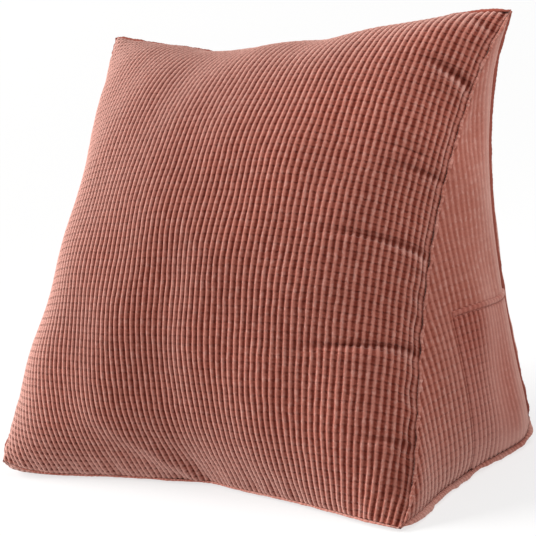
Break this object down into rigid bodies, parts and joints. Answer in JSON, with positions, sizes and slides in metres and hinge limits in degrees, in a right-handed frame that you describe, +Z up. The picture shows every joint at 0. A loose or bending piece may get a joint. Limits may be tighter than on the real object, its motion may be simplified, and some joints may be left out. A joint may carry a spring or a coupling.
{
  "type": "wedge pillow",
  "caption": "Stuffed triangular back cushion in wide ribbed cloth, with a sloping crowned front to lean on and a patch pocket lying flat on its right side",
  "frame": {"origin": "on the floor under the middle of the pillow's outline, with the pillow standing on its flat base", "axes": "+X across the pillow towards the side with the pocket, -Y out of the sloping front, +Z up from the base to the top seam"},
  "size_m": [0.4592, 0.267, 0.3683],
  "materials": {
    "ribbed_cloth": "dusty terracotta ribbed corduroy, matt, with a short soft pile",
    "pocket_cloth": "the same ribbed corduroy, matt, with a turned and stitched hem"
  },
  "bodies": {
    "root": {"cushion": "ribbed_cloth", "side_pocket": "pocket_cloth"}
  },
  "joints": []
}
